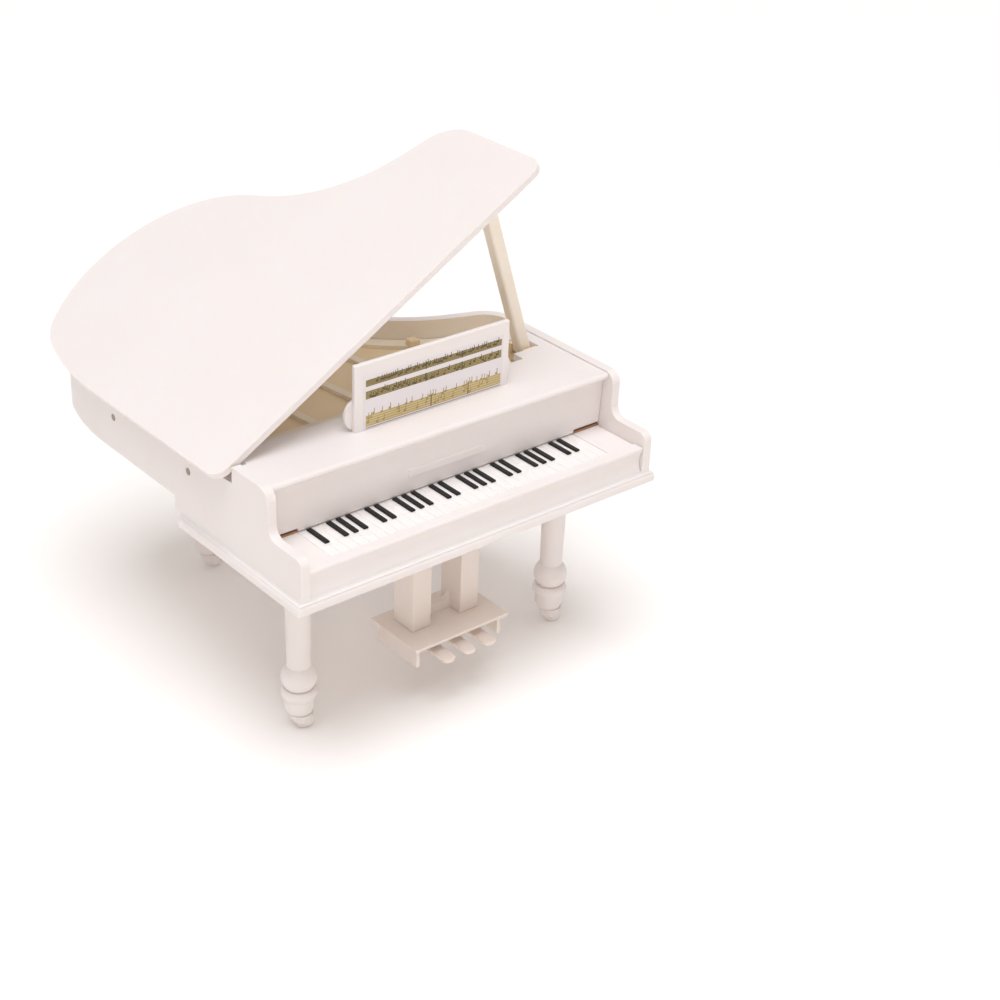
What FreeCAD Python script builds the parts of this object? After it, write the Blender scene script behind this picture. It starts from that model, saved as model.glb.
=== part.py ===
import FreeCAD, Part
import Sketcher
import math
import os
import re

# Miniature grand piano, 1:12, free-standing, in moulded plastic.
# Drawing frame: +X to the treble side, +Y to the tail, +Z up. x = 0 is the middle of the front,
# y = 0 the front of the plinth, z = 0 the floor. The finished pieces are then moved so that the
# origin lies on the floor under the middle of the object's box with the lid on its prop.

SIZES = {
    # case
    "case_width": 125.0,
    "case_inset": 1.5,
    "case_length": 139.7,
    "outline_width": 122.0,
    "bass_radius": 80.0,
    "bass_turn": 19.0,
    "corner_radius": 15.0,
    "corner_turn": 39.0,
    "tail_radius": 43.0,
    "tail_turn": 58.0,
    "flank_radius": 41.0,
    "flank_turn": 44.0,
    "waist_run": 5.0,
    "waist_radius": 52.0,
    "waist_turn": 52.0,
    "shoulder_radius": 10.4,
    "rim_wall": 2.8,
    "rim_top": 83.8,
    "leg_height": 54.1,
    "belly_rise": 8.3,
    "plinth_height": 3.4,
    "plinth_depth": 57.5,
    "plinth_round": 1.2,
    "front_depth": 61.0,
    "arm_height": 16.1,
    "arm_front": 1.0,
    "arm_nose": 2.5,
    "arm_curve_start": 12.0,
    "cheek_radius": 3.6,
    "bass_drop": 4.9,
    "bass_drop_start": 31.8,
    "bass_drop_margin": 0.7,
    "joint_gap": 0.1,
    # keyboard
    "key_top": 65.3,
    "key_thickness": 3.3,
    "key_front": 4.9,
    "key_length": 17.6,
    "white_key_count": 31,
    "key_groove": 0.14,
    "key_groove_depth": 0.7,
    "black_key_width": 1.5,
    "black_key_rise": 0.55,
    "black_key_front": 11.6,
    "block_width": 9.6,
    "block_rise": 0.2,
    "block_gap": 1.0,
    "slip_height": 8.6,
    "slip_front": 1.3,
    "slip_hollow": 0.9,
    "slip_bead": 1.0,
    # fallboard and deck
    "fallboard_foot_y": 20.4,
    "fallboard_slope": 0.8,
    "fallboard_board": 2.0,
    "fallboard_lift": 0.45,
    "rail_length": 27.0,
    "rail_middle": 1.2,
    "rail_height": 2.4,
    "rail_proud": 0.5,
    "rail_base": 70.5,
    "deck_board": 2.0,
    "deck_below_rim": 0.5,
    "deck_front": 17.6,
    "deck_rear": 39.6,
    "deck_arm_width": 16.5,
    "deck_arm_rear": 57.0,
    # music desk
    "desk_width": 53.4,
    "desk_middle": 3.0,
    "desk_height": 19.7,
    "desk_board": 1.5,
    "desk_edge": 0.35,
    "desk_front": 29.3,
    "desk_ear_radius": 4.6,
    "desk_ear_out": 2.2,
    "desk_ear_board": 1.0,
    "sheet_width": 48.4,
    "sheet_height": 15.6,
    "sheet_lift": 0.3,
    "sheet_board": 0.12,
    "sheet_side": 2.8,
    "desk_peg_radius": 1.0,
    "desk_peg_spacing": 36.0,
    # interior
    "floor_board": 2.0,
    "soundboard_top": 76.5,
    "soundboard_board": 1.8,
    "plate_board": 1.2,
    "plate_gap": 2.0,
    "plate_past_hinge": 0.35,
    "plate_front_border": 9.0,
    "plate_strut": 2.6,
    "strut_count": 4,
    "strut_near_x": -41.0,
    "strut_near_pitch": 19.3,
    "strut_far_x": -48.0,
    "strut_far_pitch": 16.5,
    "stud_run": 91.2,
    "stud_setback": 65.5,
    "stud_size": 3.2,
    "stud_height": 3.0,
    # lid and its hinge
    "lid_board": 2.0,
    "lid_overhang": 1.56,
    "lid_front": 32.4,
    "lid_corner": 4.5,
    "lid_gap": 0.25,
    "lid_open_angle": 30.84,
    "hinge_drop": 5.65,
    "hinge_inset": 5.4,
    "hinge_front_y": 53.5,
    "hinge_rear_setback": 46.8,
    "lug_width": 3.0,
    "lug_radius": 1.5,
    "lug_gap": 0.25,
    "ear_width": 1.2,
    "hinge_pin_radius": 0.6,
    "pin_clearance": 0.05,
    "screw_radius": 0.6,
    "screw_head_radius": 1.0,
    "screw_head_height": 0.5,
    "screw_drop": 5.4,
    "screw_length": 6.0,
    "bracket_height": 7.4,
    # prop
    "prop_inset": 9.5,
    "prop_y": 48.0,
    "prop_pivot_z": 81.2,
    "prop_width": 4.4,
    "prop_thickness": 3.8,
    "prop_edge": 0.8,
    "prop_tilt": 10.5,
    "prop_lean": 24.5,
    "prop_tip_gap": 0.05,
    "prop_pin_radius": 0.9,
    "prop_gap": 0.3,
    "post_wall": 1.4,
    "post_depth": 5.2,
    "post_head": 1.7,
    # legs
    "leg_inset": 16.3,
    "leg_y": 24.3,
    "rear_leg_inset": 41.2,
    "rear_leg_setback": 26.8,
    "foot_radius": 4.0,
    "foot_height": 7.4,
    "foot_taper": 1.8,
    "foot_bevel": 0.4,
    "step_radius": 4.35,
    "ring_z": 12.2,
    "ring_radius": 5.25,
    "ring_section": 1.5,
    "groove_radius": 3.6,
    "ball_z": 17.2,
    "ball_radius": 5.05,
    "shaft_foot_radius": 3.4,
    "shaft_head_radius": 3.75,
    "capital_radius": 5.6,
    "capital_height": 6.4,
    "capital_rim": 1.4,
    "tenon_radius": 2.0,
    "tenon_height": 1.6,
    # pedal lyre
    "column_width": 6.6,
    "column_depth": 9.1,
    "column_spacing": 17.2,
    "column_front": 17.6,
    "web_board": 2.0,
    "web_height": 5.4,
    "web_round": 2.6,
    "box_width": 30.6,
    "box_depth": 18.2,
    "box_front": 11.2,
    "box_base": 14.3,
    "box_height": 7.1,
    "box_wall": 1.2,
    "lip_out": 1.6,
    "lip_height": 2.4,
    "pedal_width": 4.2,
    "pedal_spacing": 7.4,
    "pedal_out": 6.0,
    "pedal_board": 1.0,
    "pedal_lift": 2.0,
    "pedal_round": 1.75,
}

DERIVED = {
    "side_x": "case_width / 2 - case_inset",
    "inner_x": "side_x - rim_wall",
    "outline_scale": "2 * side_x / outline_width",
    "plinth_top": "leg_height + plinth_height",
    "belly_z": "leg_height + belly_rise",
    "arm_z": "leg_height + arm_height",
    "bass_top": "rim_top - bass_drop",
    "key_half": "inner_x - block_width - 2 * joint_gap",
    "white_key_pitch": "2 * key_half / white_key_count",
    "key_base": "key_top - key_thickness",
    "slip_top": "plinth_top + slip_height",
    "deck_top": "rim_top - deck_below_rim",
    "deck_base": "deck_top - deck_board",
    "fallboard_base": "key_top + fallboard_lift",
    "fallboard_top": "deck_base - joint_gap",
    "desk_base": "deck_top",
    "lid_base": "rim_top + lid_gap",
    "hinge_z": "lid_base - hinge_drop",
    "hinge_x": "hinge_inset - side_x",
    "lug_bore": "hinge_pin_radius + pin_clearance",
    "hinge_rear_y": "case_length - hinge_rear_setback",
    "hinge_span": "lug_width + 2 * lug_gap + 2 * ear_width",
    "screw_z": "hinge_z - screw_drop",
    "bracket_base": "hinge_z - bracket_height",
    "prop_x": "side_x - prop_inset",
    "lid_slant": "sin(lid_open_angle)",
    "lid_level": "cos(lid_open_angle)",
    "prop_room": "hinge_drop + lid_slant * (prop_x - hinge_x) - lid_level * (prop_pivot_z - hinge_z)",
    "prop_tip_side": "lid_level * sin(prop_tilt) * prop_width / 2",
    "prop_sweep": "sqrt(1 - (lid_level * sin(prop_tilt)) ^ 2)",
    "prop_reach": "(prop_room - prop_tip_side - prop_tip_gap) / prop_sweep",
    "prop_length": "sqrt(prop_reach ^ 2 - (prop_thickness / 2) ^ 2)",
    "post_span": "prop_width + 2 * prop_gap + 2 * post_wall",
    "prop_bore": "prop_pin_radius + pin_clearance",
    "deck_arm_x": "side_x - deck_arm_width",
    "stud_x": "stud_run * outline_scale - side_x",
    "stud_y": "case_length - stud_setback * outline_scale",
    "leg_x": "case_width / 2 - leg_inset",
    "rear_leg_x": "rear_leg_inset * outline_scale - side_x",
    "rear_leg_y": "case_length - rear_leg_setback * outline_scale",
    "box_top": "box_base + box_height",
    "pedal_length": "box_depth - box_wall + pedal_out",
    "plate_inset": "rim_wall + 2 * joint_gap",
    "plate_border": "hinge_inset + lug_radius + lug_gap + plate_past_hinge - plate_inset",
}

doc = FreeCAD.newDocument("miniature_grand_piano")
sheet = doc.addObject("Spreadsheet::Sheet", "sizes")
for row, (alias, value) in enumerate(SIZES.items(), start=1):
    sheet.set(f"A{row}", alias.replace("_", " "))
    sheet.set(f"B{row}", str(value))
    sheet.setAlias(f"B{row}", alias)
doc.recompute()

derived = doc.addObject("App::FeaturePython", "derived")


def bound(text):
    """Turn plain size names into references to the sheet or to the derived values."""
    def reference(match):
        word = match.group(0)
        if word in SIZES:
            return "sizes." + word
        return "derived." + word if word in DERIVED else word
    return re.sub(r"[a-z_]+[a-z0-9_]*", reference, str(text))


for alias, text in DERIVED.items():
    derived.addProperty("App::PropertyFloat", alias)
    derived.setExpression(alias, bound(text))
doc.recompute()


def read(name):
    """The number that a size or a derived value holds now."""
    return float(sheet.get(name)) if name in SIZES else float(getattr(derived, name))


def bind(item, **texts):
    for prop, text in texts.items():
        item.setExpression(prop.replace("__", "."), bound(text))
    return item


def primitive(kind, name, x="0", y="0", z="0", **texts):
    item = doc.addObject("Part::" + kind, name)
    bind(item, **texts)
    bind(item, Placement__Base__x=x, Placement__Base__y=y, Placement__Base__z=z)
    return item


def box(name, x, y, z, length, width, height):
    return primitive("Box", name, x, y, z, Length=length, Width=width, Height=height)


def cylinder(name, x, y, z, radius, height, axis=None):
    item = primitive("Cylinder", name, x, y, z, Radius=radius, Height=height)
    if axis is not None:
        item.Placement.Rotation = FreeCAD.Rotation(FreeCAD.Vector(0, 0, 1), FreeCAD.Vector(*axis))
    return item


def fuse(name, items):
    item = doc.addObject("Part::MultiFuse", name)
    item.Shapes = items
    item.Refine = True
    return item


def cut(name, base, tools):
    """Take each tool away from base in turn."""
    item = base
    for index, tool in enumerate(tools, start=1):
        last = index == len(tools)
        result = doc.addObject("Part::Cut", name if last else f"{name}_cut_{index}")
        result.Base = item
        result.Tool = tool
        result.Refine = last
        item = result
    return item


def extrude(name, profile, direction, length):
    item = doc.addObject("Part::Extrusion", name)
    item.Base = profile
    item.DirMode = "Custom"
    item.Dir = FreeCAD.Vector(*direction)
    item.Solid = True
    bind(item, LengthFwd=length)
    return item


def group(name, items):
    item = doc.addObject("Part::Compound", name)
    item.Links = items
    return item


def fillet(name, base, radius, chosen):
    """Round the edges of base for which chosen(edge) is true."""
    doc.recompute()
    item = doc.addObject("Part::Fillet", name)
    item.Base = base
    edges = enumerate(base.Shape.Edges, start=1)
    item.Edges = [(index, radius, radius) for index, edge in edges if chosen(edge)]
    return item


def profile(name, edges):
    """A closed flat outline held as an object of the document."""
    item = doc.addObject("Part::Feature", name)
    item.Shape = Part.Face(Part.Wire(edges))
    return item


def line(start, end):
    return Part.LineSegment(FreeCAD.Vector(*start), FreeCAD.Vector(*end)).toShape()


def arc(start, middle, end):
    return Part.Arc(FreeCAD.Vector(*start), FreeCAD.Vector(*middle), FreeCAD.Vector(*end)).toShape()


def polyline(points):
    return [line(points[i], points[(i + 1) % len(points)]) for i in range(len(points))]


nodes = []
moving = {}


def keep(item, label):
    item.Label = label
    nodes.append(item)
    return item


# ---------------------------------------------------------------- case outline

def case_edges(inset):
    """Plan of the case from the end of the straight bass side to the short treble side.

    Arcs that run into each other turn round the tail, along the bentside and over the shoulder.
    Their radii are drawn for outline_width and follow the case when it is made wider or narrower.
    A straight run before the shoulder closes the outline. Moved inwards by inset, each arc keeps
    its centre, so walls and boards stay at one distance from each other.
    """
    scale = read("outline_scale")
    turns = [read(name) for name in ("bass_turn", "corner_turn", "tail_turn", "flank_turn", "waist_turn")]
    radii = [read(name) * scale for name in ("bass_radius", "corner_radius", "tail_radius",
                                             "flank_radius", "waist_radius")]
    to_corner = math.sin(math.radians(turns[0]))
    to_tail = math.sin(math.radians(turns[0] + turns[1]))
    rise = radii[0] * to_corner + radii[1] * (to_tail - to_corner) + radii[2] * (1 - to_tail)
    place = FreeCAD.Vector(-read("side_x"), read("case_length") - rise, 0)
    heading = math.pi / 2
    edges = []

    def run(length):
        nonlocal place
        inward = FreeCAD.Vector(math.sin(heading), -math.cos(heading), 0) * inset
        target = place + FreeCAD.Vector(math.cos(heading), math.sin(heading), 0) * length
        edges.append(line(tuple(place + inward), tuple(target + inward)))
        place = target

    def bend(radius, turn):
        """Turn clockwise by turn, or the other way where turn is negative."""
        nonlocal place, heading
        side = 1 if turn > 0 else -1
        centre = place + FreeCAD.Vector(math.sin(heading), -math.cos(heading), 0) * radius * side
        points = []
        for share in (0.0, 0.5, 1.0):
            angle = heading - turn * share
            outward = FreeCAD.Vector(-math.sin(angle), math.cos(angle), 0)
            points.append(centre + outward * (radius * side - inset))
        edges.append(arc(*[tuple(point) for point in points]))
        heading -= turn
        place = centre + FreeCAD.Vector(-math.sin(heading), math.cos(heading), 0) * radius * side

    for radius, turn in zip(radii[:4], turns[:4]):
        bend(radius, math.radians(turn))
    run(read("waist_run") * scale)
    bend(radii[4], -math.radians(turns[4]))
    shoulder = read("shoulder_radius") * scale
    reach = read("side_x") - place.x - shoulder * (1 + math.sin(heading))
    run(reach / math.cos(heading))
    bend(shoulder, heading + math.pi / 2)
    return edges


def case_face(name, inset, front):
    """A closed plan of the case that starts at y = front."""
    curve = case_edges(inset)
    start = curve[0].Vertexes[0].Point
    end = curve[-1].Vertexes[-1].Point
    left = (start.x, front, 0)
    right = (end.x, front, 0)
    return profile(name, [line(left, tuple(start))] + curve + [line(tuple(end), right), line(right, left)])


def board(name, inset, front, base, thickness):
    """A flat board that follows the case outline."""
    plan = case_face(name + "_plan", inset, front)
    item = extrude(name, plan, (0, 0, 1), thickness)
    bind(item, Placement__Base__z=base)
    return item


def lid_room(name):
    """The space on the bass side into which the edge of the lid sinks as it opens."""
    return box(name, "-case_width", "bass_drop_start", "bass_top",
               "case_width + hinge_x - bass_drop_margin", "case_length", "bass_drop + 5")


def make_case_rim():
    """The rim with both cheeks, open at the front, lower along the bass side under the lid."""
    outer = board("rim_outer", 0.0, read("arm_front"), "plinth_top", "rim_top - plinth_top")
    inner = board("rim_inner", read("rim_wall"), -5.0, "plinth_top - 1", "rim_top")
    belly = box("rim_belly", "-case_width", "front_depth", "plinth_top - 1",
                "2 * case_width", "case_length", "belly_z - plinth_top + 1")
    front, nose, arm = read("arm_front"), read("arm_nose"), read("arm_z")
    bend, radius, top = read("arm_curve_start"), read("cheek_radius"), read("rim_top")
    half = math.sqrt(0.5)
    x = -read("case_width")
    high = top + 10.0
    upright = bend + radius
    edges = [
        line((x, front - 5, high), (x, front - 5, arm - nose)),
        line((x, front - 5, arm - nose), (x, front, arm - nose)),
        arc((x, front, arm - nose), (x, front + nose * (1 - half), arm - nose * (1 - half)),
            (x, front + nose, arm)),
        line((x, front + nose, arm), (x, bend, arm)),
        arc((x, bend, arm), (x, bend + radius * half, arm + radius * (1 - half)),
            (x, upright, arm + radius)),
        line((x, upright, arm + radius), (x, upright, top - radius)),
        arc((x, upright, top - radius), (x, upright + radius * (1 - half), top - radius * (1 - half)),
            (x, upright + radius, top)),
        line((x, upright + radius, top), (x, upright + radius, high)),
        line((x, upright + radius, high), (x, front - 5, high)),
    ]
    arms = extrude("rim_arms", profile("arm_profile", edges), (1, 0, 0), "2 * case_width")
    tools = [inner, belly, arms, lid_room("rim_lid_room")]
    for end in ("front", "rear"):
        tools.append(box(f"rim_lug_slot_{end}", "-case_width", f"hinge_{end}_y - lug_width / 2 - lug_gap",
                         "hinge_z - lug_radius - lug_gap", "case_width - inner_x",
                         "lug_width + 2 * lug_gap", "10"))
        tools.append(cylinder(f"rim_screw_hole_{end}", "-case_width", f"hinge_{end}_y", "screw_z",
                              "screw_radius + joint_gap", "case_width - inner_x + 1", (1, 0, 0)))
        tools.append(cylinder(f"rim_screw_seat_{end}", "-case_width", f"hinge_{end}_y", "screw_z",
                              "screw_head_radius + joint_gap",
                              "case_width - side_x + screw_head_height", (1, 0, 0)))
    keep(cut("case_rim", outer, tools), "case_rim")


# ---------------------------------------------------------------- front section

def make_plinth():
    """The moulding that the front section stands on, with a socket for each front leg."""
    slab = box("plinth_slab", "-case_width / 2", "0", "leg_height",
               "case_width", "plinth_depth", "plinth_height - joint_gap / 2")
    rounded = fillet("plinth_rounded", slab, read("plinth_round"),
                     lambda edge: abs(edge.BoundBox.ZLength) < 0.01 and edge.BoundBox.YMin < 1.0)
    sockets = [cylinder(f"plinth_socket_{side}", f"{sign}leg_x", "leg_y", "leg_height - 1",
                        "tenon_radius + joint_gap / 2", "tenon_height + joint_gap + 1")
               for side, sign in (("left", "-"), ("right", ""))]
    keep(cut("plinth", rounded, sockets), "plinth")


def make_key_slip():
    """The front rail under the keys, hollowed along its face."""
    x, z, top = -read("inner_x") + read("joint_gap"), read("plinth_top"), read("slip_top")
    front, rear, hollow = read("slip_front"), read("key_front") - read("joint_gap"), read("slip_hollow")
    lip = read("slip_bead")
    edges = [
        line((x, rear, z), (x, front, z)),
        line((x, front, z), (x, front, z + lip / 2)),
        arc((x, front, z + lip / 2), (x, front + hollow, (z + top) / 2), (x, front, top - lip)),
        line((x, front, top - lip), (x, front, top - lip / 2)),
        arc((x, front, top - lip / 2), (x, front + lip * 0.15, top - lip * 0.15),
            (x, front + lip / 2, top)),
        line((x, front + lip / 2, top), (x, rear, top)),
        line((x, rear, top), (x, rear, z)),
    ]
    slip = extrude("key_slip", profile("slip_profile", edges), (1, 0, 0), "2 * inner_x - 2 * joint_gap")
    keep(slip, "key_slip")


def make_key_frame():
    """The board that the keys and the key blocks rest on."""
    frame = box("key_frame", "-inner_x + joint_gap", "key_front", "plinth_top",
                "2 * inner_x - 2 * joint_gap", "plinth_depth - key_front - 1", "key_base - plinth_top")
    keep(frame, "key_frame")


def make_belly_rail():
    """The board that closes the back of the front section below the soundboard."""
    rail = box("belly_rail", "-inner_x + joint_gap", "plinth_depth", "plinth_top",
               "2 * inner_x - 2 * joint_gap", "front_depth - plinth_depth",
               "belly_rise - plinth_height + floor_board")
    keep(rail, "belly_rail")


def make_white_keys():
    """One moulded strip of keys, parted by fine grooves."""
    body = doc.addObject("PartDesign::Body", "white_keys")
    plane = next(f for f in body.Origin.OriginFeatures if f.Role == "XY_Plane")
    plan = body.newObject("Sketcher::SketchObject", "key_strip_plan")
    plan.AttachmentSupport = [(plane, "")]
    plan.MapMode = "FlatFace"
    rectangle(plan, "2 * key_half", "key_length")
    strip = body.newObject("PartDesign::Pad", "key_strip")
    strip.Profile = plan
    bind(strip, Length="key_thickness")
    doc.recompute()
    groove_plan = body.newObject("Sketcher::SketchObject", "key_groove_plan")
    groove_plan.AttachmentSupport = [(plane, "")]
    groove_plan.MapMode = "FlatFace"
    bind(groove_plan, AttachmentOffset__Base__z="key_thickness",
         AttachmentOffset__Base__x="white_key_pitch - key_groove / 2")
    rectangle(groove_plan, "key_groove", "key_length")
    groove = body.newObject("PartDesign::Pocket", "key_groove")
    groove.Profile = groove_plan
    bind(groove, Length="key_groove_depth")
    doc.recompute()
    row = body.newObject("PartDesign::LinearPattern", "key_groove_row")
    row.Originals = [groove]
    row.Direction = (groove_plan, ["H_Axis"])
    row.Occurrences = int(read("white_key_count")) - 1
    bind(row, Length="white_key_pitch * (white_key_count - 2)")
    body.Tip = row
    bind(body, Placement__Base__x="-key_half", Placement__Base__y="key_front",
         Placement__Base__z="key_base")
    keep(body, "white_keys")


def rectangle(sketch, width, depth):
    """A rectangle from the sketch's origin, with its two sizes bound to the sheet."""
    corners = [(0, 0), (10, 0), (10, 10), (0, 10)]
    for index in range(4):
        start, end = corners[index], corners[(index + 1) % 4]
        sketch.addGeometry(Part.LineSegment(FreeCAD.Vector(*start, 0), FreeCAD.Vector(*end, 0)), False)
    for index in range(4):
        sketch.addConstraint(Sketcher.Constraint("Coincident", index, 2, (index + 1) % 4, 1))
    for index, kind in enumerate(("Horizontal", "Vertical", "Horizontal", "Vertical")):
        sketch.addConstraint(Sketcher.Constraint(kind, index))
    sketch.addConstraint(Sketcher.Constraint("Coincident", 0, 1, -1, 1))
    across = sketch.addConstraint(Sketcher.Constraint("Distance", 0, 10.0))
    along = sketch.addConstraint(Sketcher.Constraint("Distance", 1, 10.0))
    sketch.setExpression(f"Constraints[{across}]", bound(width))
    sketch.setExpression(f"Constraints[{along}]", bound(depth))


def make_black_keys():
    """The sharps. The strip runs from D to F, and a sharp follows every note but E and B."""
    plain_notes = (3, 7)
    keys = []
    for index in range(1, int(read("white_key_count"))):
        note_before = index % 7 + 1
        if note_before in plain_notes:
            continue
        edge = f"-key_half + {index} * white_key_pitch - black_key_width / 2"
        keys.append(box(f"black_key_{index}", edge, "black_key_front", "key_top", "black_key_width",
                        "fallboard_foot_y - 2 * joint_gap - black_key_front", "black_key_rise"))
    keep(group("black_keys", keys), "black_keys")


def make_key_blocks():
    for side, start in (("left", "-inner_x + joint_gap"), ("right", "key_half + joint_gap")):
        block = box(f"key_block_{side}", start, "key_front", "key_base", "block_width", "key_length",
                    "key_thickness + block_rise")
        keep(block, f"key_block_{side}")


def make_fallboard():
    """The sloping board behind the keys, with a slim raised rail on its face."""
    x = -read("inner_x") + read("joint_gap")
    foot, slope, thick = read("fallboard_foot_y"), read("fallboard_slope"), read("fallboard_board")
    low, high = read("fallboard_base"), read("fallboard_top")
    edges = polyline([(x, foot, low), (x, foot + thick, low), (x, foot - slope + thick, high),
                      (x, foot - slope, high)])
    panel = extrude("fallboard_panel", profile("fallboard_profile", edges), (1, 0, 0),
                    "2 * inner_x - 2 * joint_gap")
    rise = slope / (high - low)
    start = read("rail_base")
    end = start + read("rail_height")
    proud = read("rail_proud")
    rail_x = read("rail_middle") - read("rail_length") / 2

    def face(z):
        return foot - rise * (z - low)
    rail_edges = polyline([(rail_x, face(start) + thick / 2, start), (rail_x, face(start) - proud, start),
                           (rail_x, face(end) - proud, end), (rail_x, face(end) + thick / 2, end)])
    rail = extrude("fallboard_rail", profile("rail_profile", rail_edges), (1, 0, 0), "rail_length")
    gaps = [box(f"fallboard_gap_{side}", start, "fallboard_foot_y - fallboard_board",
                "fallboard_base - block_gap",
                "block_width + 2 * joint_gap", "3 * fallboard_board", "2 * block_gap")
            for side, start in (("left", "-inner_x"), ("right", "key_half"))]
    keep(cut("fallboard", fuse("fallboard_joined", [panel, rail]), gaps), "fallboard")


def make_top_deck():
    """The board over the action. Its treble arm carries the prop and is slotted for it."""
    main = box("deck_main", "-inner_x + joint_gap", "deck_front", "deck_base",
               "2 * inner_x - 2 * joint_gap", "deck_rear - deck_front", "deck_board")
    arm = box("deck_arm", "deck_arm_x", "deck_rear - 1", "deck_base",
              "inner_x - joint_gap - deck_arm_x", "deck_arm_rear - deck_rear + 1", "deck_board")
    joined = fuse("deck_joined", [main, arm])
    nosing = fillet("deck_nosing", joined, read("deck_board") / 2 - 0.1,
                    lambda edge: edge.BoundBox.YMax < read("deck_front") + 0.01
                    and edge.BoundBox.XLength > 1.0)
    slot = box("deck_slot", "deck_arm_x - 1", "prop_y - post_span / 2 - 2 * joint_gap", "deck_base - 1",
               "prop_x + post_depth / 2 + 2 * joint_gap - deck_arm_x + 1",
               "post_span + 4 * joint_gap", "deck_board + 2")
    pegs = [cylinder(f"deck_peg_hole_{side}", f"desk_middle {sign} desk_peg_spacing / 2",
                     "desk_front + desk_board / 2", "deck_base - 1", "desk_peg_radius / 2 + joint_gap / 2",
                     "deck_board + 2")
            for side, sign in (("left", "-"), ("right", "+"))]
    keep(cut("top_deck", nosing, [slot, lid_room("deck_lid_room")] + pegs), "top_deck")


# ---------------------------------------------------------------- music desk

def make_music_desk():
    """An upright board with a rounded ear behind each lower corner, plugged into the deck."""
    panel = box("desk_panel", "desk_middle - desk_width / 2", "desk_front", "desk_base",
                "desk_width", "desk_board", "desk_height")
    rounded = fillet("desk_rounded", panel, read("desk_edge"),
                     lambda edge: edge.BoundBox.ZMax > read("desk_base") + 1.0)
    items = [rounded]
    for side, sign in (("left", "-"), ("right", "+")):
        centre = f"desk_middle {sign} (desk_width / 2 + desk_ear_out - desk_ear_radius)"
        items.append(cylinder(f"desk_ear_{side}", centre, "desk_front + desk_board",
                              "desk_base + desk_ear_radius", "desk_ear_radius", "desk_ear_board", (0, 1, 0)))
        items.append(cylinder(f"desk_peg_{side}", f"desk_middle {sign} desk_peg_spacing / 2",
                              "desk_front + desk_board / 2", "desk_base - deck_board",
                              "desk_peg_radius / 2", "deck_board + 1"))
    keep(fuse("music_desk", items), "music_desk")


def make_music_sheet():
    paper = box("music_sheet", "desk_middle - desk_width / 2 + sheet_side", "desk_front - sheet_board",
                "desk_base + sheet_lift", "sheet_width", "sheet_board", "sheet_height")
    keep(paper, "music_sheet")


# ---------------------------------------------------------------- interior

def make_floor_and_soundboard():
    clearance = read("rim_wall") + read("joint_gap")
    floor = board("case_floor_board", clearance, read("front_depth") + read("joint_gap"),
                  "belly_z", "floor_board")
    socket = cylinder("floor_socket", "rear_leg_x", "rear_leg_y", "belly_z - 1",
                      "tenon_radius + joint_gap / 2", "tenon_height + joint_gap + 1")
    keep(cut("case_floor", floor, [socket]), "case_floor")
    panel = board("soundboard_board", clearance, read("fallboard_foot_y") + read("fallboard_board") + 1.0,
                  "soundboard_top - soundboard_board", "soundboard_board")
    notches = [bracket_room("soundboard_notch", end, "joint_gap") for end in ("front", "rear")]
    keep(cut("soundboard", panel, notches), "soundboard")


def make_harp_plate():
    """The cast plate over the soundboard: a border that follows the case, and struts fanning out."""
    front = read("deck_rear") + read("plate_gap")
    outer = board("plate_outer", read("plate_inset"), front, "soundboard_top", "plate_board")
    opening = board("plate_opening", read("plate_inset") + read("plate_border"),
                    front + read("plate_front_border"), "soundboard_top - 1", "plate_board + 2")
    ring = cut("plate_ring", outer, [opening])
    half, base, reach = read("plate_strut") / 2, read("soundboard_top"), read("case_length")
    start = front + read("plate_front_border") / 2
    struts = []
    for index in range(int(read("strut_count"))):
        near = read("strut_near_x") + index * read("strut_near_pitch")
        far = read("strut_far_x") + index * read("strut_far_pitch")
        corners = [(near - half, start, base), (near + half, start, base),
                   (far + half, reach, base), (far - half, reach, base)]
        struts.append(extrude(f"plate_strut_{index}", profile(f"strut_plan_{index}", polyline(corners)),
                              (0, 0, 1), "plate_board"))
    joined = fuse("plate_joined", [ring] + struts)
    trim = doc.addObject("Part::Common", "plate_trimmed")
    trim.Base = joined
    trim.Tool = board("plate_trim", read("plate_inset"), front, "soundboard_top", "plate_board")
    brackets = [bracket_room("plate_notch", end, "lug_gap") for end in ("front", "rear")]
    post = box("plate_clear_post", "prop_x - post_depth / 2 - lug_gap",
               "prop_y - post_span / 2 - lug_gap", "soundboard_top - 1",
               "post_depth + 2 * lug_gap", "post_span + 2 * lug_gap", "plate_board + 2")
    stud = box("plate_clear_stud", "stud_x - joint_gap", "stud_y - joint_gap", "soundboard_top - 1",
               "stud_size + 2 * joint_gap", "stud_size + 2 * joint_gap", "plate_board + 2")
    keep(cut("harp_plate", trim, brackets + [post, stud]), "harp_plate")
    peg = box("deck_stud", "stud_x", "stud_y", "soundboard_top", "stud_size", "stud_size", "stud_height")
    keep(peg, "plate_stud")


# ---------------------------------------------------------------- lid and hinge

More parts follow.
